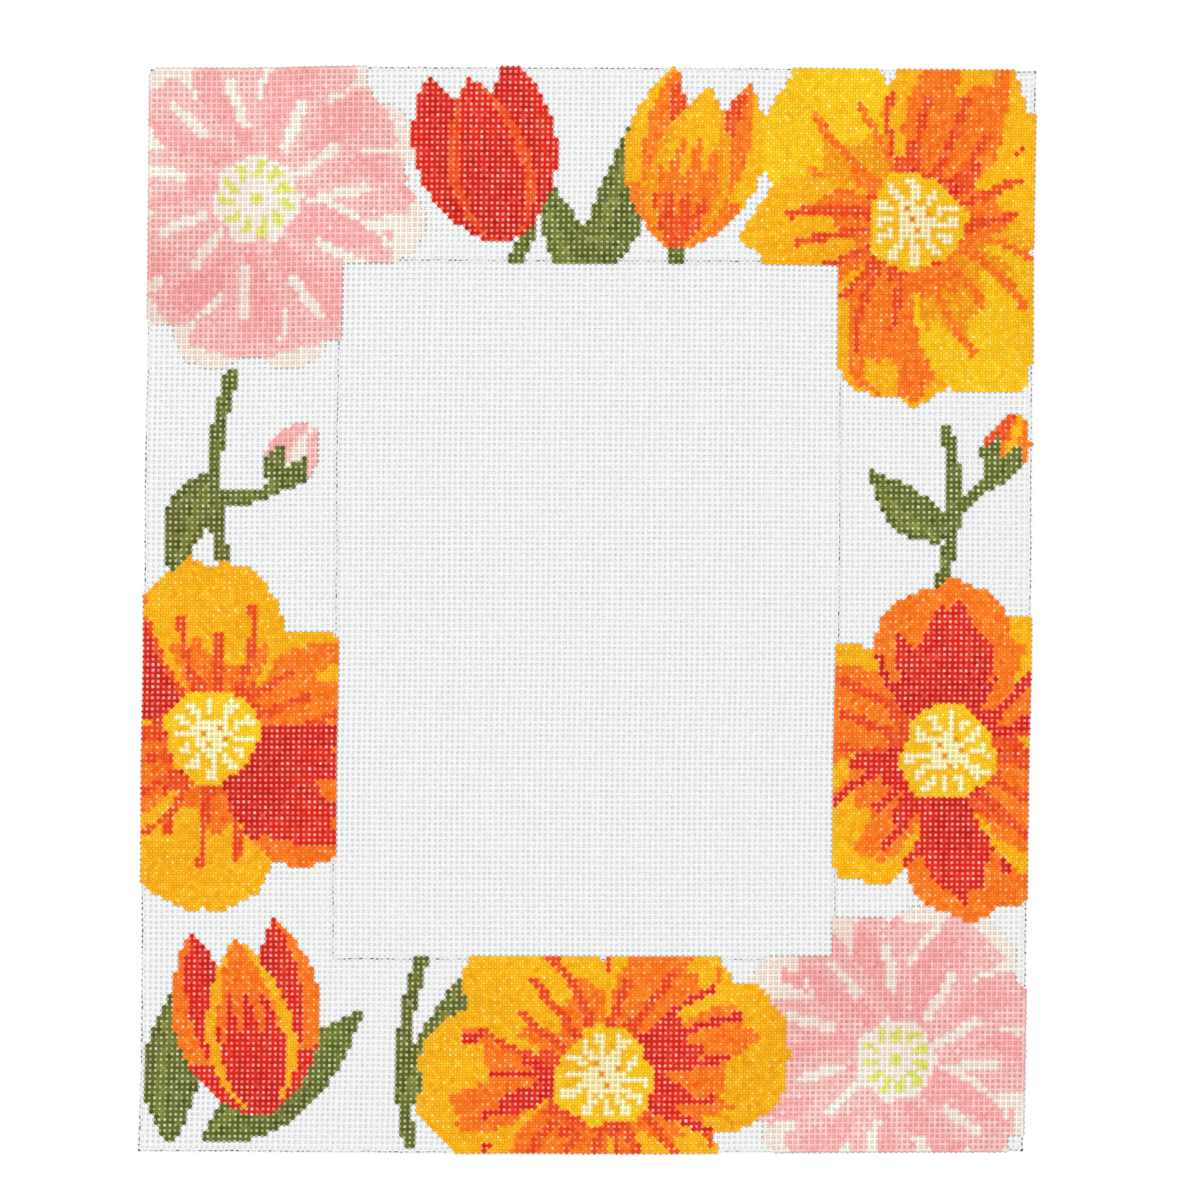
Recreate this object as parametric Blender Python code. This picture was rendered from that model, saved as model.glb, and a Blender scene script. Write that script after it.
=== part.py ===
"""Needlepoint canvas panel: one cut piece of 18-mesh cotton mono canvas, lying flat.

The cloth is a single flat solid. Its outline is the cut rectangle pulled a little out
of square, as loosely woven canvas goes, with edges that wander by under a millimetre.
Metres, +Z up, +Y along the panel's length. The origin is under the middle of the cloth,
on the surface that it lies on.
"""

import math

import bmesh
import bpy

INCH = 0.0254
MM = 0.001

# Driving dimensions: the canvas is counted in threads.
MESH_PER_INCH = 18
THREADS_ACROSS = 162
THREADS_ALONG = 198
THREAD_PITCH = INCH / MESH_PER_INCH
CLOTH_WIDTH = THREADS_ACROSS * THREAD_PITCH
CLOTH_LENGTH = THREADS_ALONG * THREAD_PITCH
SHEET_THICKNESS = 1.0 * MM

# How far each corner of the cloth is pulled from the corner of the true rectangle.
CORNER_PULLS = {
    "bottom_left": {"right_mm": -1.35, "up_mm": 0.40},
    "bottom_right": {"right_mm": -1.95, "up_mm": 0.50},
    "top_right": {"right_mm": 1.50, "up_mm": -0.75},
    "top_left": {"right_mm": 1.80, "up_mm": -0.15},
}

# How far each cut edge lies outside the straight line between its two corners, at even steps
# from one corner to the other, as measured in the photo.
EDGE_WANDERS = {
    "bottom": {
        "from": "bottom_left",
        "to": "bottom_right",
        "outwards_mm": (0.0, 0.02, 0.20, 0.38, 0.28, 0.41, 0.36, 0.10, 0.0, 0.0),
    },
    "right": {
        "from": "bottom_right",
        "to": "top_right",
        "outwards_mm": (0.0, 0.10, 0.20, 0.0, 0.03, 0.38, 0.33, 0.08, -0.13, -0.33, -0.23, 0.0),
    },
    "top": {
        "from": "top_right",
        "to": "top_left",
        "outwards_mm": (0.0, 0.10, 0.25, 0.67, 0.67, 0.64, 0.72, 0.59, 0.03, 0.0),
    },
    "left": {
        "from": "top_left",
        "to": "bottom_left",
        "outwards_mm": (0.0, -0.08, -0.13, 0.03, 0.26, 0.13, 0.0, 0.13, -0.03, -0.31, -0.44, 0.0),
    },
}

# An edge is drawn with a point for every sixth thread.
THREADS_PER_POINT = 6

CANVAS_COLOUR = (0.90, 0.91, 0.90, 1.0)
CANVAS_ROUGHNESS = 0.85


def clear_scene():
    for obj in list(bpy.data.objects):
        bpy.data.objects.remove(obj, do_unlink=True)


def corner(name):
    """The corner of the cut rectangle, moved by its pull."""
    side_x = 1 if name.endswith("right") else -1
    side_y = 1 if name.startswith("top") else -1
    pull = CORNER_PULLS[name]
    return (
        side_x * CLOTH_WIDTH / 2 + pull["right_mm"] * MM,
        side_y * CLOTH_LENGTH / 2 + pull["up_mm"] * MM,
    )


def outwards(table_mm, share):
    """How far the edge lies outside its line: eased from each entry of the table to the next."""
    place = share * (len(table_mm) - 1)
    entry = min(int(place), len(table_mm) - 2)
    part = place - entry
    ease = part * part * (3 - 2 * part)
    return (table_mm[entry] * (1 - ease) + table_mm[entry + 1] * ease) * MM


def edge_points(wander, count):
    """Points from one corner up to, but without, the next one, going round anticlockwise.

    A point is on the straight line between the corners, moved along the outward normal.
    """
    start_x, start_y = corner(wander["from"])
    end_x, end_y = corner(wander["to"])
    run_x, run_y = end_x - start_x, end_y - start_y
    length = math.hypot(run_x, run_y)
    points = []
    for step in range(count):
        share = step / count
        out = outwards(wander["outwards_mm"], share)
        points.append(
            (
                start_x + run_x * share + out * run_y / length,
                start_y + run_y * share - out * run_x / length,
            )
        )
    return points


def outline():
    """The cut edge of the cloth, anticlockwise, with its box centred on the origin."""
    points = []
    for name, wander in EDGE_WANDERS.items():
        threads = THREADS_ACROSS if name in ("bottom", "top") else THREADS_ALONG
        points += edge_points(wander, threads // THREADS_PER_POINT)
    middle_x = (min(x for x, _ in points) + max(x for x, _ in points)) / 2
    middle_y = (min(y for _, y in points) + max(y for _, y in points)) / 2
    return [(x - middle_x, y - middle_y) for x, y in points]


def canvas_material():
    material = bpy.data.materials.new("cotton_mono_canvas")
    material.use_nodes = True
    shader = material.node_tree.nodes["Principled BSDF"]
    shader.inputs["Base Color"].default_value = CANVAS_COLOUR
    shader.inputs["Roughness"].default_value = CANVAS_ROUGHNESS
    shader.inputs["Metallic"].default_value = 0.0
    return material


def make_canvas():
    """The sheet: the outline as a face at the bottom, raised by the thickness."""
    shape = bmesh.new()
    corners = [shape.verts.new((x, y, 0.0)) for x, y in outline()]
    underside = shape.faces.new(corners)
    raised = bmesh.ops.extrude_face_region(shape, geom=[underside])
    top_verts = [item for item in raised["geom"] if isinstance(item, bmesh.types.BMVert)]
    bmesh.ops.translate(shape, verts=top_verts, vec=(0.0, 0.0, SHEET_THICKNESS))
    bmesh.ops.recalc_face_normals(shape, faces=shape.faces)
    mesh = bpy.data.meshes.new("canvas")
    shape.to_mesh(mesh)
    shape.free()
    mesh.materials.append(canvas_material())
    sheet = bpy.data.objects.new("canvas", mesh)
    bpy.context.scene.collection.objects.link(sheet)
    return sheet


clear_scene()
make_canvas()
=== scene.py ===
"""Needlepoint canvas panel: the looks.

The CAD sheet is replaced by the real weave: every warp and weft thread of an 18-mesh
cotton mono canvas is a closed tube that passes over and under its neighbours, with the
holes between them open. Each crossing takes one colour of paint from a chart of
flowers that the functions below draw on the thread grid.
Metres, +Z up, +X across the panel, +Y up its length.
"""

import bpy
import numpy as np
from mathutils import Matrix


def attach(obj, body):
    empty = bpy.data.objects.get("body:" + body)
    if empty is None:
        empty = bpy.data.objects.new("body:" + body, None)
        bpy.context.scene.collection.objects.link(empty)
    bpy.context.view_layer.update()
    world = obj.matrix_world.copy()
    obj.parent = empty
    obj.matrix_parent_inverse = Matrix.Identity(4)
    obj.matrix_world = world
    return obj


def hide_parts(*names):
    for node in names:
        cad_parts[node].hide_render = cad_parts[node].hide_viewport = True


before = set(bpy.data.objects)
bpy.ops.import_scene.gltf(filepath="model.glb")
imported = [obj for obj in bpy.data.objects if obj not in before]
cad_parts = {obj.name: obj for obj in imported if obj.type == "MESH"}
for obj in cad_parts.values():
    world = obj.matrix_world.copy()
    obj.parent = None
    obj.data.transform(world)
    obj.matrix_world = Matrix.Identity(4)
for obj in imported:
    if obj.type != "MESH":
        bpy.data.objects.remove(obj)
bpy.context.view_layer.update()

MM = 0.001
INCH = 25.4 * MM
SEED = 1811

# The cloth, counted in threads.
MESH_PER_INCH = 18
PITCH = INCH / MESH_PER_INCH
ACROSS = 162
ALONG = 198
BORDER = 36

# One thread. Its section is a flattened hexagon, and the holes are as wide as the threads. Size has
# pressed and glued the crossings, so a thread rises over its neighbours by less than its height.
THREAD_WIDTH = 0.68 * MM
THREAD_HEIGHT = 0.28 * MM
THREAD_CROWN = 0.62
WEAVE_RISE = 0.05 * MM
SIDES = 6

# Threads swell and wander slowly along their run, and nearly apart from their neighbours: how far
# such a swell or wander reaches, as threads along the run and across it. Each crossing is also a
# little off its place.
WIDTH_SPREAD = 0.035
WIDTH_RUN = (7.0, 0.4)
DRIFT = 0.024 * MM
DRIFT_RUN = (9.0, 0.6)
JITTER = 0.009 * MM

# Past the outermost threads the cut ends stick out by END_REACH of the pitch, and narrow to END_TAPER
# of their width. The bare window is a little slacker than the painted border, and the cut edges lie
# within EDGE_WANDER of straight lines.
END_REACH = (0.50, 0.62)
END_TAPER = 0.6
WINDOW_SLACK = 0.0013
EDGE_WANDER = 2 * MM

# Thin paint dries across the holes as a film, hollowed like a saucer. It climbs part of the way
# up the threads' sides, and its rim is tucked into them. It also fills the notches between the cut
# ends, which it takes as holes with this share of the pitch, so the ends stick out like teeth.
NOTCH = 0.46
FILM_TUCK = 0.15 * MM
FILM_CLIMB = 0.10 * MM
FILM_DISH = 0.05 * MM
FILM_THICKNESS = 0.04 * MM

# The cloth is made in strips that lie edge to edge, so that no mesh is too big. The bake's maps leave
# a margin round each page of threads, and round each film, as a share of its hole.
STRIPS = 5
UV_MARGIN = 1.5 * MM
MAP_INSET = 0.06

# Paints as sRGB, full on a thread and as the film across a hole, and how much of the hole the
# film's colour takes. The first is no paint. Strong paints are thin in the film and so paler
# there. For pale paints the film is darker than the thread: a painted shade spot in the hole's
# middle, standing in for the shadow seen through the opening.
PAINTS = {
    "bare": {"thread": "#F1F3F3", "film": "#F1F3F3", "spot": 1.0},
    "amber": {"thread": "#E7A704", "film": "#FDBC30", "spot": 1.0},
    "corn": {"thread": "#E9BA04", "film": "#FDCE3A", "spot": 1.0},
    "gold": {"thread": "#E29008", "film": "#FBB430", "spot": 1.0},
    "orange": {"thread": "#E86E0C", "film": "#FD9142", "spot": 1.0},
    "flame": {"thread": "#DB4410", "film": "#FA8256", "spot": 1.0},
    "red": {"thread": "#CE1C0E", "film": "#FD8676", "spot": 1.0},
    "crimson": {"thread": "#BE1810", "film": "#FB8072", "spot": 1.0},
    "pink": {"thread": "#ECAAA8", "film": "#DE9492", "spot": 0.5},
    "blush": {"thread": "#EDB9B5", "film": "#CA918C", "spot": 0.5},
    "cream": {"thread": "#E9DCD2", "film": "#D7CCC2", "spot": 0.5},
    "straw": {"thread": "#EEE6B2", "film": "#D4C684", "spot": 0.5},
    "lime": {"thread": "#D9D770", "film": "#C8BE5C", "spot": 0.5},
    "olive": {"thread": "#575F25", "film": "#B4B67C", "spot": 0.95},
    "moss": {"thread": "#6E762E", "film": "#B8BC80", "spot": 0.9},
}
PAINT_NUMBER = {name: number for number, name in enumerate(PAINTS)}

# The other colours, as sRGB: bare cotton on a thread's crown, and on its flanks a lighter colour, painted
# light that stands in for light coming through the cotton; the grey of its mottle; the painted shade of
# the gap between two crossings; the pencil; and the board under the cloth.
COTTON_CROWN = "#DFE1E0"
COTTON_FLANK_PAINTED_LIGHT = "#F3F5F4"
MOTTLE_GREY = "#898989"
PAINTED_GAP_SHADE = "#272727"
PENCIL_LEAD = "#3E3A48"
BOARD_WHITE = "#FBFBFB"

# How far the pencil lines lie outside the middle of their threads and where a line's edge fades, in
# threads, the heights between which the pencil starts to touch, and how far painted cut tips are
# darkened: partly dull cut fibre, partly painted shade at the cut ends.
PENCIL_OFFSET = 0.08
PENCIL_LINE = (0.09, 0.17)
PENCIL_TOUCH = (0.33 * MM, 0.365 * MM)
TIP_DULLNESS_AND_SHADE = 0.6

# How many ridges the two plies make in a pitch, how high they and the loose fibre stand, and how
# coarse the grain of each pattern is.
PLY_RIDGES = 3.0
PLY_HEIGHT = 0.008 * MM
FIBRE_HEIGHT = 0.012 * MM
GRAINS = {
    "pencil wander": 5 * MM,
    "pencil press": 1.7 * MM,
    "pencil weight": 22 * MM,
    "paint edge": 0.35 * MM,
    "thin spots": 0.30 * MM,
    "mottle": 0.5 * MM,
    "fibre": 0.12 * MM,
    "film edge": 0.6 * MM,
    "film streaks": 0.4 * MM,
}

# How much a wash changes red, green and blue, and how many threads it reaches. Then how much the
# paint's thickness differs from one crossing to the next, and from one hole to the next, within
# what bounds, and how much the bare crossings differ.
WASH = (0.015, 0.05, 0.05)
WASH_RUN = 6.0
DABS = 0.1
FILM_SPREAD = 0.22
THICKNESS_BOUNDS = (0.4, 1.6)
BARE_SPREAD = 0.012


def linear(code):
    """An sRGB hex code as linear red, green and blue."""
    srgb = np.array([int(code[start:start + 2], 16) for start in (1, 3, 5)]) / 255
    return np.where(srgb <= 0.04045, srgb / 12.92, ((srgb + 0.055) / 1.055) ** 2.4)


def opaque(code):
    """The colour with full coverage, as a socket takes it."""
    return (*linear(code), 1)


# ---------------------------------------------------------------- the flower chart
# The chart has one cell for each crossing. x counts threads from the left edge and y from
# the bottom edge. A motif is a set of tests on each cell's place, laid one over another.

CHART_X, CHART_Y = np.meshgrid(np.arange(ACROSS) + 0.5, np.arange(ALONG) + 0.5)


def lay(cells, mask, paint):
    """Gives the cells in the mask this paint."""
    cells[mask] = PAINT_NUMBER[paint]


def place(x, y, turn, size):
    """Each cell's place along and across the heading turn, in shares of size."""
    cos_turn, sin_turn = np.cos(np.radians(turn)), np.sin(np.radians(turn))
    right, up = CHART_X - x, CHART_Y - y
    return (right * cos_turn + up * sin_turn) / size, (up * cos_turn - right * sin_turn) / size


def swell(share, power, fullness):
    """Half width of a petal: sin(pi * share ** power) ** fullness, zero at both ends."""
    return np.sin(np.pi * np.clip(share, 0, 1) ** power) ** fullness


def tongues(values, turns, phase):
    """A smooth row of tongues, from 0 to 1."""
    return 0.5 + 0.5 * np.cos(2 * np.pi * (turns * values + phase))


# A petal's paints, from its open edge to its foot: rim, body, deep and heart, and the shares of
# its length that the body and deep tones reach.
PETAL_PAINTS = {
    "sunny": (("amber", "orange", "flame", "red"), 0.52, 0.28),
    "honey": (("corn", "gold", "orange", "flame"), 0.60, 0.36),
    "tangerine": (("amber", "orange", "flame", "red"), 1.00, 0.36),
    "ember": (("orange", "red", "crimson", "crimson"), 0.86, 0.55),
    "glow": (("amber", "orange", "red", "crimson"), 0.80, 0.46),
}


def broad_petal(cells, x, y, turn, size, width, paints, wave, lean):
    """A petal with a notched, ruffled tip, its inner tones reaching out from the foot in loose tongues.

    Its half width is width * sin(pi * 0.97 * share^1.5 + 0.03)^0.62. It has a shadow along one
    side, and a few veins, one or two threads wide.
    """
    (rim_paint, body_paint, deep_paint, heart_paint), body_to, deep_to = PETAL_PAINTS[paints]
    along, across = place(x, y, turn, size)
    across = across - lean * along * along
    tip = 1.0 - 0.07 * np.exp(-((across - 0.03) / 0.08) ** 2) + 0.025 * np.cos(across * 19 + wave)
    share = np.clip(along / tip, 0, 1)
    half = width * np.sin(np.pi * share ** 1.5 * 0.97 + 0.03) ** 0.62
    inside = (along > 0) & (along < tip) & (np.abs(across) < half)
    part = across / np.maximum(half, 1e-6)
    lay(cells, inside, rim_paint)
    loose = 0.74 + 0.26 * tongues(part, 0.8, 0.1 + wave * 0.12)
    body = body_to * (loose + 0.05 * np.sin(13 * part + wave))
    body_side = (part > -0.78 + 0.10 * np.cos(9 * along)) & (part < 0.70)
    lay(cells, inside & (along < body) & body_side, body_paint)
    deep = deep_to * (loose + 0.30 * tongues(part, 1.7, wave * 0.3) - 0.12)
    lay(cells, inside & (along < deep), deep_paint)
    shaded = (half - across) * size < 1.4
    lay(cells, inside & shaded & (along > 0.15) & (along < 0.62), deep_paint)
    for number, course in enumerate((-0.50, -0.02, 0.45)):
        end = 0.66 + 0.10 * np.sin(wave * 3 + 2.1 * number)
        vein = np.abs(part - course - 0.06 * np.sin(wave + number)) * half * size < 0.8
        lay(cells, inside & vein & (along > 0.22) & (along < end), deep_paint)
    lay(cells, inside & (along < deep * 0.62), heart_paint)


def seed_head(cells, x, y, size):
    """A corn-yellow disc with a wreath of short, uneven straw-coloured bars round a pale button."""
    along, across = place(x, y, 0, size)
    radius, angle = np.hypot(along, across), np.arctan2(across, along)
    ruffle = np.sin(3 * angle + x) + 0.6 * np.sin(7 * angle + y)
    lay(cells, radius < 1.12 + 0.07 * ruffle, "corn")
    bars = np.cos(12 * angle + 1.3 * np.sin(2 * angle + y)) > 0.0
    lay(cells, (radius < 0.96 + 0.08 * ruffle) & (radius > 0.52) & bars, "straw")
    lay(cells, radius < 0.46 + 0.04 * ruffle, "straw")
    speck = (np.floor(CHART_X) * 3 + np.floor(CHART_Y) * 5) % 7 == 0
    lay(cells, (radius < 0.42) & speck, "gold")


def broad_bloom(cells, x, y, size, turn, petals, width, paints, eye):
    """Broad petals set round a seed head, every other one on top of its neighbours."""
    order = list(range(0, petals, 2)) + list(range(1, petals, 2))
    for k in order:
        wave = (k * 2.399 + turn * 0.1) % 6.28
        reach = size * (1.0 - 0.06 * ((k * 5 + 2) % 3))
        heading = turn + k * 360 / petals + 4 * np.sin(3.1 * k + turn)
        lean = 0.10 * np.sin(k * 1.7 + turn)
        broad_petal(cells, x, y, heading, reach, width, paints[k % len(paints)], wave, lean)
    seed_head(cells, x, y, size * eye)


def daisy(cells, x, y, size, turn, petals, eye=0.24):
    """Two rings of petals, blush over pink, with pale gaps and folds, round a button of lime bars.

    A petal's half width is fullness * 2.4 / petals * sin(pi * 0.93 * share^1.25 + 0.07)^0.55.
    """
    rings = ((1.0, 0.5, 1.30, ("cream", "blush", "pink")), (0.93, 0.0, 1.0, ("blush", "pink", "cream")))
    for ring, (reach, shift, fullness, tones) in enumerate(rings):
        for k in range(petals):
            heading = turn + (k + shift) * 360 / petals + 3.0 * np.sin(2.3 * k + ring)
            length = size * reach * (1 + 0.05 * np.sin(1.9 * k + 4 * ring))
            along, across = place(x, y, heading, length)
            share = np.clip(along, 0, 1)
            half = fullness * 2.4 / petals * np.sin(np.pi * share ** 1.25 * 0.93 + 0.07) ** 0.55
            inside = (along > 0) & (along < 1) & (np.abs(across) < half)
            part = across / np.maximum(half, 1e-6)
            lay(cells, inside, tones[0])
            lay(cells, inside & (part > -0.1 + 0.5 * np.sin(4 * along + k)) & (along < 0.9), tones[1])
            fold = 0.40 + 0.12 * np.sin(5.1 * k)
            lay(cells, inside & (along < fold) & (np.abs(part - 0.15) < 0.5), tones[1])
            lay(cells, inside & (part > 0.80) & (along > 0.1) & (along < 0.9), tones[2])
            crease = (np.abs(part + 0.35) < 0.16) & (along > fold) & (along < fold + 0.34)
            lay(cells, inside & crease, tones[2])
    along, across = place(x, y, 0, size * eye)
    radius, angle = np.hypot(along, across), np.arctan2(across, along)
    lay(cells, radius < 1.06 + 0.06 * np.cos(7 * angle + x), "cream")
    lay(cells, (radius > 0.48) & (radius < 0.92) & (np.cos(11 * angle + 3 * radius) > -0.05), "lime")
    lay(cells, radius < 0.20, "lime")


def tulip(cells, x, y, size, turn, tones):
    """A cup seen from the side, standing on (x, y): two petals, bowed out by a sine, behind a middle one."""
    along, across = place(x, y, turn, size)
    for side in (1, -1):
        shift = across * side
        half = 0.205 * swell(along / 0.97, 0.74, 0.75)
        bow = 0.20 * np.sin(np.pi * np.clip(along, 0, 1) * 0.62) + 0.02
        inside = (along > 0) & (along < 0.97) & (np.abs(shift - bow) < half)
        lay(cells, inside, tones[1])
        lay(cells, inside & (shift - bow > 0.5 * half) & (along > 0.3), tones[0])
        lay(cells, inside & (shift - bow < -0.2 * half) & (along > 0.22) & (along < 0.9), tones[2])
    half = 0.225 * swell(along / 0.90, 0.80, 0.72)
    inside = (along > 0) & (along < 0.90) & (np.abs(across) < half)
    part = across / np.maximum(half, 1e-6)
    lay(cells, inside, tones[0])
    lay(cells, inside & (np.abs(part) > 0.72), tones[3])
    lay(cells, inside & (along < 0.40 + 0.22 * tongues(part, 2.2, 0.1)) & (np.abs(part) < 0.75), tones[1])
    lay(cells, inside & (along < 0.16 + 0.16 * tongues(part, 2.2, 0.1)) & (np.abs(part) < 0.8), tones[2])


def stem(cells, start, bend, end, width, paint="olive"):
    """A stroke along the curve start * (1 - t)^2 + 2 * bend * t * (1 - t) + end * t^2."""
    t = np.linspace(0, 1, 160)[:, None, None]
    line_x = (1 - t) ** 2 * start[0] + 2 * t * (1 - t) * bend[0] + t ** 2 * end[0]
    line_y = (1 - t) ** 2 * start[1] + 2 * t * (1 - t) * bend[1] + t ** 2 * end[1]
    near = ((CHART_X - line_x) ** 2 + (CHART_Y - line_y) ** 2).min(axis=0)
    lay(cells, near < (width / 2) ** 2, paint)


def leaf(cells, x, y, size, turn, width, bend):
    """A lance-shaped leaf, bowed by bend * t * (1 - t), with one side lit and a dark midrib."""
    along, across = place(x, y, turn, size)
    across = across - bend * along * (1 - along)
    half = width * swell(along, 0.8, 0.9)
    inside = (along > 0) & (along < 1) & (np.abs(across) < half)
    lay(cells, inside, "olive")
    lay(cells, inside & (across > 0) & (across < half * 0.62) & (along > 0.08) & (along < 0.86), "moss")
    lay(cells, inside & (np.abs(across) < 0.018) & (along < 0.9), "olive")


def bud(cells, x, y, size, turn, tones):
    """A closed bud in its green cup."""
    along, across = place(x, y, turn, size)
    half = 0.34 * swell(along, 0.85, 0.7)
    inside = (along > 0) & (along < 1) & (np.abs(across) < half)
    part = across / np.maximum(half, 1e-6)
    lay(cells, inside, tones[0])
    lay(cells, inside & (part > 0.25), tones[1])
    lay(cells, inside & (np.abs(part + 0.2) < 0.22) & (along > 0.35), tones[2])
    lay(cells, inside & (along < 0.34 + 0.22 * tongues(part, 1.0, 0.5)), "olive")


def flower_chart():
    """The paint of every crossing: stems and leaves first, then the flowers, then the bare window."""
    cells = np.zeros((ALONG, ACROSS), np.uint8)
    # Stems, buds and leaves: right, left, top and foot.
    stem(cells, (146, 132), (150, 118), (144, 100), 2.6)
    stem(cells, (147, 116), (152, 122), (157, 124), 2.4)
    bud(cells, 155, 123, 13, 70, ("orange", "flame", "amber"))
    leaf(cells, 147, 112, 20, 140, 0.20, 0.2)
    stem(cells, (16, 142), (10, 124), (16, 104), 2.6)
    stem(cells, (12, 120), (20, 118), (25, 122), 2.4)
    bud(cells, 24, 121, 14, 62, ("blush", "pink", "cream"))
    leaf(cells, 12, 124, 20, 250, 0.20, -0.2)
    stem(cells, (70, 168), (66, 160), (60, 150), 2.8)
    stem(cells, (97, 168), (96, 160), (100, 150), 2.8)
    leaf(cells, 80, 158, 34, 74, 0.14, -0.25)
    leaf(cells, 84, 156, 26, 118, 0.15, 0.25)
    stem(cells, (50, 2), (46, 20), (52, 36), 2.6)
    leaf(cells, 48, 8, 28, 66, 0.16, -0.25)
    # The flowers, from the top to the foot.
    broad_bloom(cells, 140, 170, 36, 14, 6, 0.39, ("sunny", "tangerine", "honey"), 0.22)
    daisy(cells, 20, 174, 31, 8, 11)
    tulip(cells, 66, 166, 34, 104, ("red", "crimson", "crimson", "flame"))
    tulip(cells, 96, 165, 33, 78, ("amber", "orange", "flame", "gold"))
    broad_bloom(cells, 147, 73, 34, 40, 6, 0.39, ("glow", "ember", "tangerine"), 0.23)
    broad_bloom(cells, 13, 76, 35, 25, 6, 0.39, ("tangerine", "sunny", "ember"), 0.22)
    daisy(cells, 138, 17, 29, 0, 11)
    broad_bloom(cells, 85, 14, 35, 62, 6, 0.39, ("tangerine", "sunny", "glow"), 0.23)
    leaf(cells, 6, 2, 32, 84, 0.16, 0.2)
    leaf(cells, 12, 2, 38, 40, 0.15, -0.2)
    tulip(cells, 23, 7, 36, 100, ("orange", "red", "crimson", "amber"))
    cells[BORDER:ALONG - BORDER, BORDER:ACROSS - BORDER] = PAINT_NUMBER["bare"]
    return cells


# ---------------------------------------------------------------- the weave


def smooth_noise(random, run):
    """White noise at the crossings, blurred by a Gaussian and scaled to a deviation of 1.

    run is the Gaussian's spread along the cloth and across it, in threads.
    """
    waves_along = np.fft.fftfreq(ALONG)[:, None] * run[0]
    waves_across = np.fft.fftfreq(ACROSS)[None, :] * run[1]
    softening = np.exp(-2 * np.pi ** 2 * (waves_along ** 2 + waves_across ** 2))
    noise = np.fft.ifft2(np.fft.fft2(random.standard_normal((ALONG, ACROSS))) * softening).real
    return noise / noise.std()


def sheet_edges():
    """The CAD sheet's cut edge, as its four corners and the runs of points between them.

    An edge has the points that are no further than EDGE_WANDER from the line between its corners.
    """
    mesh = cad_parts["canvas"].data
    flat = np.empty(len(mesh.vertices) * 3, np.float32)
    mesh.vertices.foreach_get("co", flat)
    points = np.unique(np.round(flat.reshape(-1, 3)[:, :2].astype(float), 7), axis=0)
    corners = {}
    for name, way in (("bl", (-1, -1)), ("br", (1, -1)), ("tl", (-1, 1)), ("tr", (1, 1))):
        corners[name] = points[np.argmax(points @ np.array(way))]
    edges = {}
    sides = {"bottom": ("bl", "br"), "top": ("tl", "tr"), "left": ("bl", "tl"), "right": ("br", "tr")}
    for name, (start, end) in sides.items():
        run = corners[end] - corners[start]
        length = np.hypot(*run)
        offset = points - corners[start]
        share = offset @ run / length ** 2
        away = np.abs(offset[:, 0] * run[1] - offset[:, 1] * run[0]) / length
        chosen = np.flatnonzero(away < EDGE_WANDER)
        chosen = chosen[np.argsort(share[chosen])]
        edges[name] = (share[chosen], points[chosen])
    return corners, edges


def on_edge(edge, share):
    """The point at each share of the way along an edge."""
    stations, points = edge
    return np.stack([np.interp(share, stations, points[:, axis]) for axis in (0, 1)], axis=-1)


def crossing_places():
    """Where each warp meets each weft, as an array of weft, warp and x or y.

    A Coons patch: the two ways of blending opposite edges, less the blend of the corners.
    """
    corners, edges = sheet_edges()
    u = ((np.arange(ACROSS) + 0.5) / ACROSS)[None, :, None]
    u = u + WINDOW_SLACK * np.sin(2 * np.pi * (u - 0.5))
    v = ((np.arange(ALONG) + 0.5) / ALONG)[:, None, None]
    bottom = on_edge(edges["bottom"], u[0, :, 0])[None]
    top = on_edge(edges["top"], u[0, :, 0])[None]
    left = on_edge(edges["left"], v[:, 0, 0])[:, None]
    right = on_edge(edges["right"], v[:, 0, 0])[:, None]
    blend = (1 - u) * (1 - v) * corners["bl"] + u * (1 - v) * corners["br"]
    blend = blend + (1 - u) * v * corners["tl"] + u * v * corners["tr"]
    return (1 - v) * bottom + v * top + (1 - u) * left + u * right - blend


def woven_crossings(random):
    """The crossings, moved as threads wander: slowly along a thread, and a little at each crossing."""
    places = crossing_places()
    places[..., 0] += DRIFT * smooth_noise(random, DRIFT_RUN)
    places[..., 1] += DRIFT * smooth_noise(random, DRIFT_RUN[::-1])
    places += JITTER * random.standard_normal(places.shape)
    return places


def with_ends(line, start_reach, end_reach, height):
    """Adds a point before and after each line, reach pitches beyond its first and last ones, at height."""
    start = line[:, :1] + (line[:, :1] - line[:, 1:2]) * start_reach[:, None, None]
    end = line[:, -1:] + (line[:, -1:] - line[:, -2:-1]) * end_reach[:, None, None]
    start[..., 2] = height
    end[..., 2] = height
    return np.concatenate([start, line, end], axis=1)


def section():
    """The thread's section, as shares of its half width and half height, anticlockwise from its side."""
    return np.array(
        [(1, 0), (THREAD_CROWN, 1), (-THREAD_CROWN, 1), (-1, 0), (-THREAD_CROWN, -1), (THREAD_CROWN, -1)]
    )


def thread_tubes(lines, widths):
    """Points of closed tubes: at each ring the section, set across the thread's run.

    lines has thread, ring and x, y, z. The section's side lies along up crossed with the run.
    """
    run = np.gradient(lines[..., :2], axis=1)
    run /= np.linalg.norm(run, axis=-1, keepdims=True)
    side = np.stack([-run[..., 1], run[..., 0], np.zeros(run.shape[:2])], axis=-1)
    shape = section()
    points = lines[:, :, None] + side[:, :, None] * (shape[:, 0] * widths[..., None] / 2)[..., None]
    points[..., 2] += shape[:, 1] * THREAD_HEIGHT / 2
    return points


def tube_faces(threads, rings, first):
    """Quads along each tube, as thread, segment, side and corner, and a cap at each end."""
    ring_start = first + (np.arange(threads)[:, None] * rings + np.arange(rings)) * SIDES
    here, after = np.arange(SIDES), (np.arange(SIDES) + 1) % SIDES
    near, far = ring_start[:, :-1, None], ring_start[:, 1:, None]
    quads = np.stack([near + here, near + after, far + after, far + here], axis=-1)
    caps = np.stack([ring_start[:, 0, None] + here[::-1], ring_start[:, -1, None] + here], axis=1)
    return quads, caps


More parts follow.
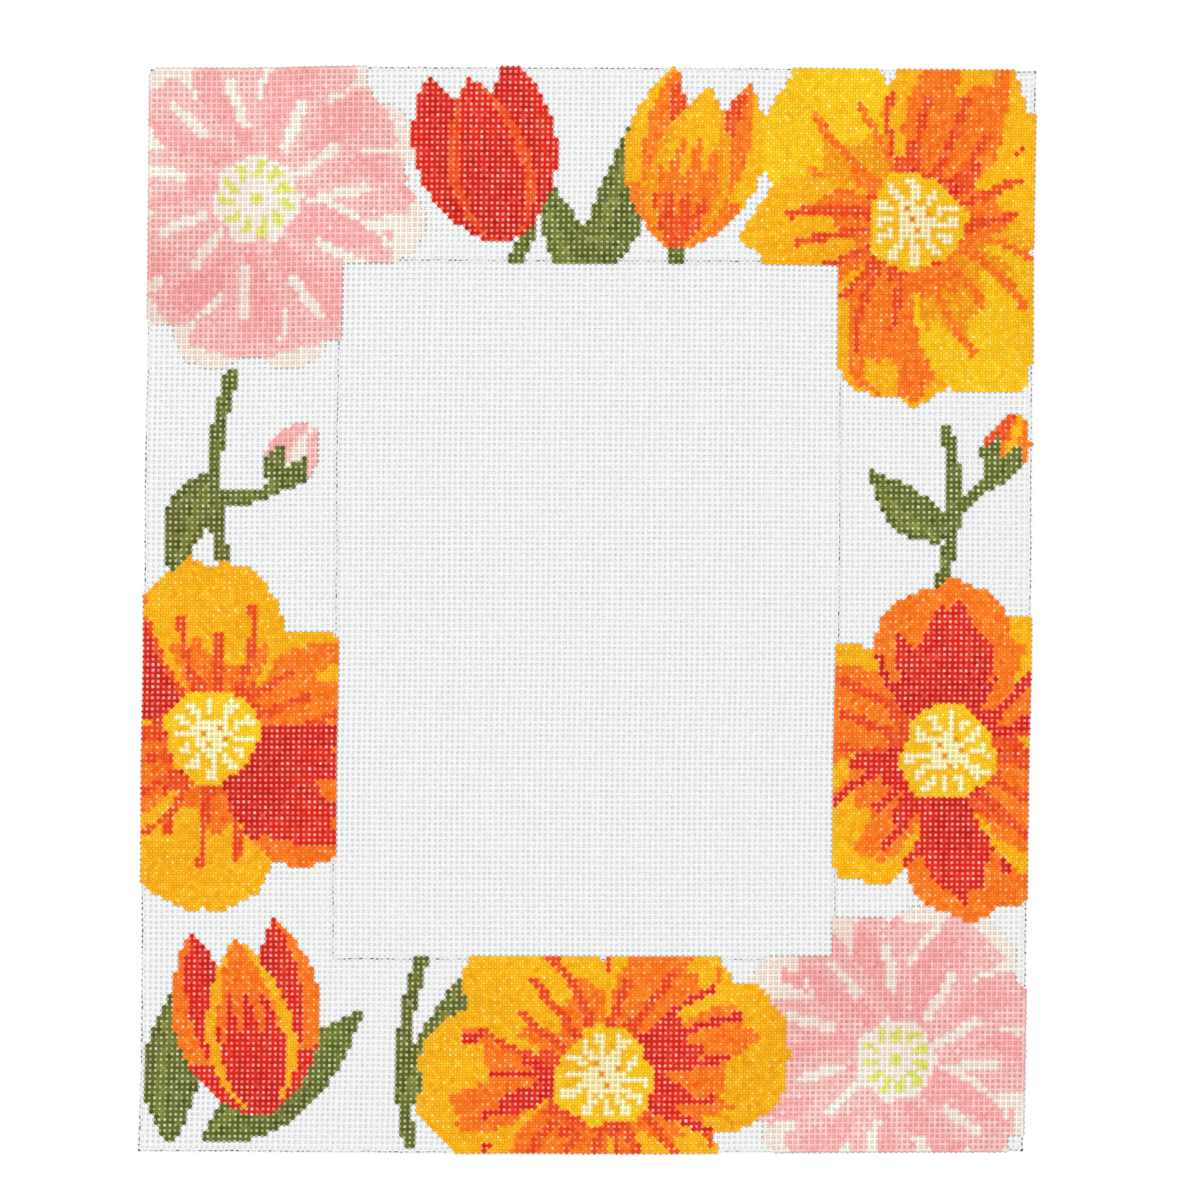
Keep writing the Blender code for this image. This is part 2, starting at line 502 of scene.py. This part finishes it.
def rises(parity_shift):
    """+1 where a thread is on top at a crossing and -1 where it is below."""
    weft, warp = np.meshgrid(np.arange(ALONG), np.arange(ACROSS), indexing="ij")
    return 1.0 - 2.0 * ((weft + warp + parity_shift) % 2)


def paint_table(key):
    """The paints' linear colours, one row each, for their threads or their films."""
    return np.array([linear(paint[key]) for paint in PAINTS.values()])


def thicknesses(random, spread, shape):
    """Thicknesses of paint, about 1. A colour is raised to this power, so thick paint is deep."""
    return np.clip(1 + spread * random.standard_normal(shape), *THICKNESS_BOUNDS)


def crossing_colours(random, cells, wash):
    """Linear colour and coverage at each crossing."""
    table = paint_table("thread")[cells]
    painted = (cells != PAINT_NUMBER["bare"]).astype(float)[..., None]
    plain = 1 + BARE_SPREAD * random.standard_normal(painted.shape)
    coat = table ** thicknesses(random, DABS, painted.shape) * wash
    colour = np.clip(np.where(painted, coat, table * plain), 0, 1)
    return np.concatenate([colour, painted], axis=-1)


def segment_values(values):
    """Values at a segment's first and last crossing; an end beyond the cloth repeats its crossing."""
    padded = np.concatenate([values[:, :1], values, values[:, -1:]], axis=1)
    return padded[:, :-1], padded[:, 1:]


def add_object(name, data):
    """An object that holds this mesh, lamp or camera."""
    made = bpy.data.objects.new(name, data)
    bpy.context.scene.collection.objects.link(made)
    return made


def raw_mesh(name, points, corners, starts):
    """A mesh from its points, its faces' corners end to end, and where each face starts in them."""
    mesh = bpy.data.meshes.new(name)
    mesh.vertices.add(len(points))
    mesh.vertices.foreach_set("co", points.astype(np.float32).ravel())
    mesh.loops.add(len(corners))
    mesh.loops.foreach_set("vertex_index", corners.astype(np.int32))
    mesh.polygons.add(len(starts))
    mesh.polygons.foreach_set("loop_start", starts.astype(np.int32))
    mesh.update(calc_edges=True)
    return mesh


def add_attribute(mesh, name, kind, domain, values, key):
    """A value or colour for each point or face."""
    data = mesh.attributes.new(name, kind, domain).data
    data.foreach_set(key, np.ascontiguousarray(values, np.float32).ravel())


def add_map(mesh, name, places):
    """A UV map with a place for each corner of each face."""
    data = mesh.uv_layers.new(name=name, do_init=False).data
    data.foreach_set("uv", places.astype(np.float32).ravel())


def cloth_piece(name, mesh, material):
    """A piece of the cloth with the given material: it stands for the CAD sheet, which it hides."""
    mesh.materials.append(material)
    piece = add_object(name, mesh)
    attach(piece, "root")
    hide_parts("canvas")
    return piece


class ThreadSet:
    """Threads that run one way in one strip: their rings and what each segment carries.

    numbers are the threads' own, and stations the rings' places along them, counted in threads.
    """

    def __init__(self, lines, widths, colours, numbers, stations, upright):
        self.points = thread_tubes(lines, widths)
        self.threads, self.rings = lines.shape[:2]
        self.here, self.after = colours
        self.stations = stations
        aside = section()[:, 0] * widths[..., None] / (2 * PITCH)
        grid = np.empty((*aside.shape, 2))
        grid[..., 1 if upright else 0] = stations[None, :, None]
        grid[..., 0 if upright else 1] = numbers[:, None, None] + (-aside if upright else aside)
        self.grid = grid.reshape(-1, 2)


def bake_pages(vertices, quads, caps, back, page_split):
    """The bake's map, with four pages side by side: the front's lower and upper half, then the back's."""
    corners = np.concatenate([quads.ravel(), caps.ravel()])
    heights = np.concatenate([vertices[quads, 1].mean(axis=1), vertices[caps, 1].mean(axis=1)])
    back = np.concatenate([back, np.zeros(len(caps), bool)])
    per_face = np.concatenate([np.full(len(quads), 4), np.full(len(caps), SIDES)])
    upper, back = np.repeat(heights > page_split, per_face), np.repeat(back, per_face)
    low = vertices[:, :2].min(axis=0)
    span = vertices[:, :2].max(axis=0) - low + 2 * UV_MARGIN
    half_height = span[1] / 2 + UV_MARGIN
    u = (vertices[corners, 0] - low[0] + UV_MARGIN) / span[0]
    base = np.where(upper, page_split - UV_MARGIN, low[1] - UV_MARGIN)
    v = (vertices[corners, 1] - base) / half_height
    page = 2 * back + upper
    return np.stack([(u + page) / 4, v], axis=-1)


def strip_mesh(name, sets, page_split):
    """One mesh from the warps and the wefts of a strip, with its maps and attributes."""
    vertices, quads, caps, ring_ends = [], [], [], []
    here, after, runs, backs, cap_quads = [], [], [], [], []
    first, quads_before = 0, 0
    for threads in sets:
        quad, cap = tube_faces(threads.threads, threads.rings, first)
        first += threads.points.size // 3
        vertices.append(threads.points.reshape(-1, 3))
        quads.append(quad.reshape(-1, 4))
        caps.append(cap.reshape(-1, SIDES))
        segments = (threads.threads, threads.rings - 1, SIDES)
        here.append(np.broadcast_to(threads.here[:, :, None], (*segments, 4)).reshape(-1, 4))
        after.append(np.broadcast_to(threads.after[:, :, None], (*segments, 4)).reshape(-1, 4))
        crossing = np.floor(threads.stations[:-1])
        start, end = threads.stations[:-1] - crossing, threads.stations[1:] - crossing
        run = np.empty((*segments, 4, 2))
        run[..., 0] = np.stack([start, start, end, end], axis=-1)[None, :, None]
        side = np.arange(SIDES)
        run[..., 1] = np.stack([side, side + 1, side + 1, side], axis=-1) / SIDES
        runs.append(run.reshape(-1, 2))
        backs.append(np.broadcast_to(side >= SIDES // 2, segments).ravel())
        ends = np.zeros((threads.threads, threads.rings, SIDES), bool)
        ends[:, [0, -1]] = True
        ring_ends.append(ends.ravel())
        # A cap takes the colour of the segment that it closes.
        numbers = np.arange(quad.size // 4).reshape(segments)[:, [0, -1], 0]
        cap_quads.append(quads_before + numbers.ravel())
        quads_before += quad.size // 4
    vertices = np.concatenate(vertices)
    quads, caps = np.concatenate(quads), np.concatenate(caps)
    quad_count, cap_count = len(quads), len(caps)
    corners = np.concatenate([quads.ravel(), caps.ravel()])
    starts = np.concatenate([np.arange(quad_count) * 4, quad_count * 4 + np.arange(cap_count) * SIDES])
    mesh = raw_mesh(name, vertices, corners, starts)

    # The rims of the cut ends are sharp.
    ends = np.concatenate(ring_ends)
    edge_points = np.empty(len(mesh.edges) * 2, np.int32)
    mesh.edges.foreach_get("vertices", edge_points)
    edge_points = edge_points.reshape(-1, 2)
    same_ring = edge_points[:, 0] // SIDES == edge_points[:, 1] // SIDES
    sharp = same_ring & ends[edge_points].all(axis=1)
    mesh.attributes.new("sharp_edge", "BOOLEAN", "EDGE").data.foreach_set("value", sharp)

    cap_quads = np.concatenate(cap_quads)
    for attribute, values in (("paint_here", here), ("paint_after", after)):
        values = np.concatenate(values)
        values = np.concatenate([values, values[cap_quads]])
        add_attribute(mesh, attribute, "FLOAT_COLOR", "FACE", values, "color")
    cap_run = np.tile([0.5, 0.25], (cap_count * SIDES, 1))
    add_map(mesh, "run", np.concatenate([*runs, cap_run]))
    add_map(mesh, "grid", np.concatenate([threads.grid for threads in sets])[corners])
    add_map(mesh, "OFBake", bake_pages(vertices, quads, caps, np.concatenate(backs), page_split))
    mesh.shade_smooth()
    return mesh


def with_margin(places):
    """The crossings and, NOTCH of a pitch outside them all round, the outer corners of the notches."""
    left = places[:, :1] + NOTCH * (places[:, :1] - places[:, 1:2])
    right = places[:, -1:] + NOTCH * (places[:, -1:] - places[:, -2:-1])
    rows = np.concatenate([left, places, right], axis=1)
    bottom = rows[:1] + NOTCH * (rows[:1] - rows[1:2])
    top = rows[-1:] + NOTCH * (rows[-1:] - rows[-2:-1])
    return np.concatenate([bottom, rows, top])


def hole_corners(values):
    """The values at each hole's low left, low right, high right and high left crossings."""
    return np.stack([values[:-1, :-1], values[:-1, 1:], values[1:, 1:], values[1:, :-1]], axis=2)


def film_outlines(places, painted):
    """Holes' corners, as hole, corner and x or y, drawn in to half the hole where one side is bare."""
    drawn = places.copy()
    for corner, beside, above in ((0, 1, 3), (1, 0, 2), (2, 3, 1), (3, 2, 0)):
        for near, far in ((beside, above), (above, beside)):
            short = ~painted[:, corner] & painted[:, near] & ~painted[:, far]
            drawn[short, corner] = (places[short, near] + places[short, corner]) / 2
    return drawn


def film_colours(random, cells, wash, painted, inside):
    """Linear colour and size of the spot at the middle of each film, and colour along its four sides.

    The corners that aren't inside the cloth, on a notch's outer side, take the paler of the two.
    """
    share = painted[..., None] / painted.sum(axis=1)[:, None, None]
    middle = (paint_table("film")[cells] * wash * share).sum(axis=1)
    rim = np.where(painted[..., None], paint_table("thread")[cells] * wash, middle[:, None])
    rim = np.where(inside[..., None], rim, np.maximum(rim, middle[:, None]))
    # For pale paints the spot is painted shade: a darker film colour at the hole's middle.
    spots = np.array([paint["spot"] for paint in PAINTS.values()])
    spot = (spots[cells] * share[..., 0]).sum(axis=1)[:, None]
    middle = middle ** thicknesses(random, FILM_SPREAD * spot, spot.shape)
    sides = (rim + np.roll(rim, -1, axis=1)) / 2
    return np.clip(np.hstack([middle, spot]), 0, 1), np.clip(sides, 0, 1)


def saucers(corners):
    """Points and triangles of a saucer in each hole, from the crossings at the hole's four corners.

    Its rim is the hole's parallelogram, grown by FILM_TUCK so that it ends inside the threads,
    and a point above and one below its middle close it.
    """
    centre = corners.mean(axis=1)
    reach = 1 - (THREAD_WIDTH - 2 * FILM_TUCK) / PITCH
    points = np.zeros((len(centre), 6, 3))
    points[:, :4, :2] = centre[:, None] + reach * (corners - centre[:, None])
    points[:, 4:, :2] = centre[:, None]
    points[..., 2] = WEAVE_RISE + THREAD_HEIGHT / 2 + FILM_CLIMB
    points[:, 4, 2] -= FILM_DISH
    points[:, 5, 2] -= FILM_DISH + FILM_THICKNESS
    edges = np.array([(0, 1), (1, 2), (2, 3), (3, 0)])
    above = np.insert(edges, 2, 4, axis=1)
    below = np.insert(edges[:, ::-1], 2, 5, axis=1)
    return points, np.concatenate([above, below]) + 6 * np.arange(len(centre))[:, None, None]


def paint_film(material, random, wash, cells, places):
    """One saucer of dried paint in every hole, and notch, with paint all round or down one side."""
    cells = np.pad(cells, 1, mode="edge")
    painted = hole_corners(cells != PAINT_NUMBER["bare"])
    diagonal = (painted[..., 0] == painted[..., 2]) & (painted[..., 1] == painted[..., 3])
    held = (painted.sum(axis=-1) >= 2) & (painted.all(axis=-1) | ~diagonal)
    painted = painted[held]
    corners = film_outlines(hole_corners(with_margin(places))[held], painted)
    wash = hole_corners(np.pad(wash, ((1, 1), (1, 1), (0, 0)), mode="edge"))[held]
    inside = hole_corners(np.pad(np.ones((ALONG, ACROSS), bool), 1))[held]
    middle, sides = film_colours(random, hole_corners(cells)[held], wash, painted, inside)
    points, faces = saucers(corners)
    mesh = raw_mesh("paint_film", points.reshape(-1, 3), faces.ravel(), np.arange(0, faces.size, 3))
    depth = np.tile([0, 0, 0, 0, 1, 1], len(points))
    add_attribute(mesh, "film_depth", "FLOAT", "POINT", depth, "value")

    # The bake's map is a chart too: a square for each hole, a little clear of its neighbours.
    square = np.array([(0, 0), (1, 0), (1, 1), (0, 1), (0.5, 0.5), (0.5, 0.5)])
    spots = np.argwhere(held)[:, None, ::-1] + MAP_INSET + (1 - 2 * MAP_INSET) * square
    add_map(mesh, "OFBake", (spots / (ACROSS + 1, ALONG + 1)).reshape(-1, 2)[faces.ravel()])
    middle = np.repeat(middle, 8, axis=0)
    add_attribute(mesh, "film_middle", "FLOAT_COLOR", "FACE", middle, "color")
    sides = np.concatenate([sides, sides], axis=1).reshape(-1, 3)
    sides = np.column_stack([sides, np.ones(len(sides))])
    add_attribute(mesh, "film_side", "FLOAT_COLOR", "FACE", sides, "color")
    return cloth_piece("paint_film", mesh, material)


def strip_stretch(values, first, last):
    """The wefts' values at a strip's rings. Ring n + 1 of a weft is its crossing with warp n.

    Where a strip ends inside the cloth, its last ring and the next strip's first are half way across
    the gap between two warps.
    """
    part = values[:, first:last + 2].copy()
    if first > 0:
        part[:, 0] = (part[:, 0] + part[:, 1]) / 2
    if last < ACROSS:
        part[:, -1] = (part[:, -2] + part[:, -1]) / 2
    return part


def weave(material, film_material):
    """All strips of the cloth, each with its own warps and its stretch of every weft."""
    random = np.random.default_rng(SEED)
    cells = flower_chart()
    wash = 1 + smooth_noise(random, (WASH_RUN, WASH_RUN))[..., None] * np.array(WASH)
    colours = crossing_colours(random, cells, wash)
    places = woven_crossings(random)
    middle = WEAVE_RISE + THREAD_HEIGHT / 2
    warp_rise, weft_rise = rises(0), rises(1)
    warp_lines = np.dstack([places, middle + WEAVE_RISE * warp_rise]).transpose(1, 0, 2)
    weft_lines = np.dstack([places, middle + WEAVE_RISE * weft_rise])
    thick = THREAD_WIDTH * (1 + WIDTH_SPREAD * smooth_noise(random, WIDTH_RUN))
    warp_widths = np.pad(thick.T, ((0, 0), (1, 1)), mode="edge")
    warp_widths[:, [0, -1]] *= END_TAPER
    thick = THREAD_WIDTH * (1 + WIDTH_SPREAD * smooth_noise(random, WIDTH_RUN[::-1]))
    weft_widths = np.pad(thick, ((0, 0), (1, 1)), mode="edge")
    weft_widths[:, [0, -1]] *= END_TAPER
    warp_reach = random.uniform(*END_REACH, (2, ACROSS))
    weft_reach = random.uniform(*END_REACH, (2, ALONG))
    warp_lines = with_ends(warp_lines, warp_reach[0], warp_reach[1], middle)
    weft_lines = with_ends(weft_lines, weft_reach[0], weft_reach[1], middle)

    warp_here, warp_after = segment_values(colours.transpose(1, 0, 2))
    weft_here, weft_after = segment_values(colours)
    warp_stations = np.concatenate([[-END_REACH[0]], np.arange(ALONG), [ALONG - 1 + END_REACH[0]]])
    weft_stations = np.concatenate([[-END_REACH[0]], np.arange(ACROSS), [ACROSS - 1 + END_REACH[0]]])
    page_split = places[ALONG // 2 - 1:ALONG // 2 + 1, :, 1].mean()

    bounds = np.linspace(0, ACROSS, STRIPS + 1).round().astype(int)
    for number, (first, last) in enumerate(zip(bounds[:-1], bounds[1:])):
        warps = ThreadSet(
            warp_lines[first:last], warp_widths[first:last],
            (warp_here[first:last], warp_after[first:last]),
            np.arange(first, last), warp_stations, True,
        )
        wefts = ThreadSet(
            strip_stretch(weft_lines, first, last), strip_stretch(weft_widths, first, last),
            (weft_here[:, first:last + 1], weft_after[:, first:last + 1]),
            np.arange(ALONG), strip_stretch(weft_stations[None], first, last)[0], False,
        )
        name = f"canvas_strip_{number + 1}"
        strip = cloth_piece(name, strip_mesh(name, [warps, wefts], page_split), material)
    paint_film(film_material, random, wash, cells, places)


# ---------------------------------------------------------------- materials

# A Map Range node's settings, to ease from one value to the other and hold at both.
SMOOTH = {"interpolation_type": "SMOOTHSTEP"}


def node(tree, kind, *inputs, **named):
    """Adds a node and gives its outputs that are in use, by name.

    inputs go in order to its inputs that are in use. Of the named values, those with a capital
    letter are inputs too, and the others are its settings.
    """
    made = tree.nodes.new("ShaderNode" + kind)
    for name, value in named.items():
        if name.islower():
            setattr(made, name, value)
    given = list(zip([socket for socket in made.inputs if socket.enabled], inputs))
    given += [(made.inputs[name], value) for name, value in named.items() if not name.islower()]
    for socket, value in given:
        if isinstance(value, bpy.types.NodeSocket):
            tree.links.new(value, socket)
        else:
            socket.default_value = value
    return {socket.name: socket for socket in made.outputs if socket.enabled}


def finish(name):
    """A new material, its node tree and its shader."""
    material = bpy.data.materials.new(name)
    material.use_nodes = True
    return material, material.node_tree, material.node_tree.nodes["Principled BSDF"]


def pencil_marks(tree, spot, up, coat):
    """How dark the pencil is: a line along the outermost threads and one along those round the window.

    The pencil skims the high points, so the line is a dash or a dot at each crossing, and it is
    firm in some places and faint in others. Both lines are rectangles about the cloth's middle, on
    the map that counts threads, and paint nearly hides them. Painted threads' cut tips are darkened
    too, partly as dull cut fibre and partly as painted shade.
    """
    grid = node(tree, "UVMap", uv_map="grid")["UV"]
    grid = node(tree, "SeparateXYZ", grid)
    wander = node(tree, "TexNoise", spot, 1 / GRAINS["pencil wander"])["Fac"]
    wander = node(tree, "Math", wander, 0.5, -0.25, operation="MULTIPLY_ADD")["Value"]
    distances = []
    for inset in (0, BORDER - 1):
        sides = []
        for axis, count in (("X", ACROSS), ("Y", ALONG)):
            out = node(tree, "Math", grid[axis], (count - 1) / 2, operation="SUBTRACT")["Value"]
            out = node(tree, "Math", out, operation="ABSOLUTE")["Value"]
            sides.append(node(tree, "Math", out, (count - 1) / 2 - inset, operation="SUBTRACT")["Value"])
        beyond = node(tree, "Math", *sides, operation="MAXIMUM")["Value"]
        if inset == 0:
            corner = node(tree, "Math", *sides, operation="MINIMUM")["Value"]
            corner = node(tree, "MapRange", corner, -0.30, -0.12, **SMOOTH)["Result"]
            # Painted cut tips darken towards their ends: partly dull fibre, partly painted shade.
            tip = node(tree, "MapRange", beyond, 0.26, 0.46, 0.0, TIP_DULLNESS_AND_SHADE, **SMOOTH)["Result"]
        beyond = node(tree, "Math", beyond, PENCIL_OFFSET, operation="SUBTRACT")["Value"]
        beyond = node(tree, "Math", beyond, wander, operation="ADD")["Value"]
        distances.append(node(tree, "Math", beyond, operation="ABSOLUTE")["Value"])
    nearest = node(tree, "Math", *distances, operation="MINIMUM")["Value"]
    line = node(tree, "MapRange", nearest, *PENCIL_LINE, 1.0, 0.0, **SMOOTH)["Result"]

    # A firm blot at the cloth's corners, and elsewhere what the pencil touches.
    height = node(tree, "SeparateXYZ", spot)["Z"]
    high = node(tree, "MapRange", height, *PENCIL_TOUCH, 0.22, 1.0, **SMOOTH)["Result"]
    press = node(tree, "Mapping", spot, (0, 7 * MM, 0))["Vector"]
    press = node(tree, "TexNoise", press, 1 / GRAINS["pencil press"], 0.0)["Fac"]
    press = node(tree, "MapRange", press, 0.32, 0.56, 0.35, 1.0, **SMOOTH)["Result"]
    firm = node(tree, "TexNoise", spot, 1 / GRAINS["pencil weight"], 1.0)["Fac"]
    firm = node(tree, "MapRange", firm, 0.36, 0.56, 0.5, 1.0, **SMOOTH)["Result"]
    firm = node(tree, "Math", press, firm, operation="MULTIPLY")["Value"]
    marks = node(tree, "Math", line, high, operation="MULTIPLY")["Value"]
    marks = node(tree, "Math", marks, firm, operation="MULTIPLY")["Value"]
    blot = node(tree, "Math", line, corner, operation="MULTIPLY")["Value"]
    marks = node(tree, "Math", marks, blot, operation="MAXIMUM")["Value"]

    # None on the underside, little on paint, and the cut tips of painted threads darkened: partly dull
    # fibre, partly painted shade.
    upper = node(tree, "MapRange", up, 0.0, 0.5, **SMOOTH)["Result"]
    marks = node(tree, "Math", marks, upper, operation="MULTIPLY")["Value"]
    shown = node(tree, "Math", coat, -0.85, 1.0, operation="MULTIPLY_ADD")["Value"]
    marks = node(tree, "Math", marks, shown, operation="MULTIPLY")["Value"]
    tip = node(tree, "Math", tip, coat, operation="MULTIPLY")["Value"]
    return node(tree, "Math", marks, tip, operation="MAXIMUM")["Value"]


def painted_cotton_canvas():
    """White sized cotton under matt acrylic paint.

    The paint colours a whole crossing and stops half way to the next one, with a slightly
    ragged edge. It sits on the upper side of the thread and thins out below. Bare cotton
    is chalky; paint is a little smoother.
    """
    material, tree, shader = finish("painted_cotton_canvas")
    spot = node(tree, "TexCoord")["Object"]
    here = node(tree, "Attribute", attribute_name="paint_here")
    after = node(tree, "Attribute", attribute_name="paint_after")
    run = node(tree, "UVMap", uv_map="run")["UV"]
    run = node(tree, "SeparateXYZ", run)

    ragged = node(tree, "TexNoise", spot, 1 / GRAINS["paint edge"])["Fac"]
    ragged = node(tree, "Math", ragged, 0.24, -0.12, operation="MULTIPLY_ADD")["Value"]
    shifted = node(tree, "Math", run["X"], ragged, operation="ADD")["Value"]
    side = node(tree, "MapRange", shifted, 0.46, 0.54, **SMOOTH)["Result"]
    paint = node(tree, "Mix", side, here["Color"], after["Color"], data_type="RGBA")["Result"]
    coverage = node(tree, "Mix", side, here["Alpha"], after["Alpha"])["Result"]

    # Under the thread only what has soaked through shows, and the coat has thin spots.
    normal = node(tree, "NewGeometry")["True Normal"]
    up = node(tree, "SeparateXYZ", normal)["Z"]
    coat = node(tree, "MapRange", up, -0.9, -0.1, 0.5, 1.0, **SMOOTH)["Result"]
    thin = node(tree, "Mapping", spot, (3 * MM, 0, 0))["Vector"]
    thin = node(tree, "TexNoise", thin, 1 / GRAINS["thin spots"], 3.0)["Fac"]
    thin = node(tree, "MapRange", thin, 0.62, 0.76, 0.0, 0.12, **SMOOTH)["Result"]
    coat = node(tree, "Math", coat, thin, operation="SUBTRACT")["Value"]
    coat = node(tree, "Math", coat, coverage, operation="MULTIPLY")["Value"]

    # Painted light: the flanks get a lighter colour than the crown, standing in for light that comes
    # through the cotton.
    crown = node(tree, "MapRange", up, 0.72, 0.96, **SMOOTH)["Result"]
    cotton = node(tree, "Mix", crown, opaque(COTTON_FLANK_PAINTED_LIGHT), opaque(COTTON_CROWN), data_type="RGBA")["Result"]
    mottle = node(tree, "TexNoise", spot, 1 / GRAINS["mottle"], 3.0)["Fac"]
    mottle = node(tree, "MapRange", mottle, 0.35, 0.6, 0.06, 0.0, **SMOOTH)["Result"]
    cotton = node(tree, "Mix", mottle, cotton, opaque(MOTTLE_GREY), data_type="RGBA")["Result"]
    colour = node(tree, "Mix", coat, cotton, paint, data_type="RGBA")["Result"]

    # Painted shade: a thread is made a little darker between two crossings, where the real thread dips
    # and narrows.
    middle = node(tree, "Math", shifted, 0.5, operation="SUBTRACT")["Value"]
    middle = node(tree, "Math", middle, operation="ABSOLUTE")["Value"]
    gap_shade = node(tree, "MapRange", middle, 0.0, 0.36, 0.02, 0.0, **SMOOTH)["Result"]
    colour = node(tree, "Mix", gap_shade, colour, opaque(PAINTED_GAP_SHADE), data_type="RGBA")["Result"]
    marks = pencil_marks(tree, spot, up, coat)
    colour = node(tree, "Mix", marks, colour, opaque(PENCIL_LEAD), data_type="RGBA")["Result"]
    tree.links.new(colour, shader.inputs["Base Color"])

    roughness = node(tree, "Mix", coat, 0.9, 0.7)["Result"]
    tree.links.new(roughness, shader.inputs["Roughness"])
    shader.inputs["Specular IOR Level"].default_value = 0.1

    # The thread's twist, with two plies round it, then loose fibre.
    phase = node(tree, "Math", run["Y"], 2.0, operation="MULTIPLY")["Value"]
    phase = node(tree, "Math", run["X"], PLY_RIDGES, phase, operation="MULTIPLY_ADD")["Value"]
    phase = node(tree, "Math", phase, float(2 * np.pi), operation="MULTIPLY")["Value"]
    twist = node(tree, "Math", phase, operation="SINE")["Value"]
    height = node(tree, "Math", twist, PLY_HEIGHT, operation="MULTIPLY")["Value"]
    fibre = node(tree, "TexNoise", spot, 1 / GRAINS["fibre"], 3.0)["Fac"]
    height = node(tree, "Math", fibre, FIBRE_HEIGHT, height, operation="MULTIPLY_ADD")["Value"]
    bump = node(tree, "Bump", 1.0, 1.0, Height=height)["Normal"]
    tree.links.new(bump, shader.inputs["Normal"])
    return material


def dried_paint_film():
    """Thinned acrylic that has dried in the holes: the threads' paint at its rim, thinning to its middle."""
    material, tree, shader = finish("dried_paint_film")
    spot = node(tree, "TexCoord")["Object"]
    middle = node(tree, "Attribute", attribute_name="film_middle")
    side = node(tree, "Attribute", attribute_name="film_side")["Color"]
    depth = node(tree, "Attribute", attribute_name="film_depth")["Fac"]

    # The spot at the middle, painted shade for pale paints, has an uneven edge, half way out from it
    # at half size.
    uneven = node(tree, "TexNoise", spot, 1 / GRAINS["film edge"])["Fac"]
    uneven = node(tree, "Math", uneven, 0.9, -0.45, operation="MULTIPLY_ADD")["Value"]
    depth = node(tree, "Math", depth, uneven, operation="ADD")["Value"]
    edge = node(tree, "Math", middle["Alpha"], -0.6, 0.65, operation="MULTIPLY_ADD")["Value"]
    full = node(tree, "Math", edge, 0.4, operation="ADD")["Value"]
    thin = node(tree, "MapRange", depth, edge, full, **SMOOTH)["Result"]
    paint = node(tree, "Mix", thin, side, middle["Color"], data_type="RGBA")["Result"]
    streaks = node(tree, "TexNoise", spot, 1 / GRAINS["film streaks"])["Fac"]
    streaks = node(tree, "MapRange", streaks, 0.35, 0.65, 0.92, 1.0, **SMOOTH)["Result"]
    colour = node(tree, "VectorMath", paint, streaks, operation="SCALE")["Vector"]
    tree.links.new(colour, shader.inputs["Base Color"])
    shader.inputs["Roughness"].default_value = 0.55
    shader.inputs["Specular IOR Level"].default_value = 0.1
    return material


def white_board():
    """Matt white board, the pale surface that the canvas lies on."""
    material, _, shader = finish("white_board")
    shader.inputs["Base Color"].default_value = opaque(BOARD_WHITE)
    shader.inputs["Roughness"].default_value = 0.9
    shader.inputs["Specular IOR Level"].default_value = 0.2
    return material


# ---------------------------------------------------------------- the room

FLOOR_SIDE = 4.0
FLOOR_DROP = 0.27 * MM
ROOM_BRIGHTNESS = 1.13
KEY_PLACE = (-0.7, 0.8, 1.3)
KEY_SIZE = 1.6
KEY_POWER = 6.0


def make_floor():
    """A square board under the cloth, FLOOR_DROP below it."""
    mesh = bpy.data.meshes.new("floor")
    half = FLOOR_SIDE / 2
    corners = [(-half, -half), (half, -half), (half, half), (-half, half)]
    mesh.from_pydata([(x, y, -FLOOR_DROP) for x, y in corners], [], [(0, 1, 2, 3)])
    mesh.materials.append(white_board())
    floor = add_object("floor", mesh)


def light_the_room():
    """Even white light from all round, and a wide lamp on the left that faces the cloth's middle."""
    world = bpy.data.worlds.new("soft_white_room")
    world.use_nodes = True
    background = world.node_tree.nodes["Background"]
    background.inputs["Color"].default_value = opaque("#FFFFFF")
    background.inputs["Strength"].default_value = ROOM_BRIGHTNESS
    bpy.context.scene.world = world
    data = bpy.data.lights.new("key", "AREA")
    data.shape = "DISK"
    data.size = KEY_SIZE
    data.energy = KEY_POWER
    lamp = add_object("key", data)
    lamp.location = KEY_PLACE
    lamp.rotation_euler = (-lamp.location).to_track_quat("-Z", "Y").to_euler()
    bpy.context.scene.view_settings.view_transform = "Standard"


# The frame of the picture is 308.4 mm wide on the cloth, and its middle is a little right
# of and above the cloth's.
VIEW_WIDTH = 308.4 * MM
VIEW_CENTRE = (3.3 * MM, 2.5 * MM)
LENS = 100.0
SENSOR = 36.0


def make_camera():
    """Straight above the cloth, as far away as makes the frame as wide as VIEW_WIDTH."""
    data = bpy.data.cameras.new("camera")
    data.lens = LENS
    data.sensor_width = SENSOR
    camera = add_object("camera", data)
    camera.location = (*VIEW_CENTRE, VIEW_WIDTH * LENS / SENSOR)
    bpy.context.scene.camera = camera


weave(painted_cotton_canvas(), dried_paint_film())
make_floor()
light_the_room()
make_camera()
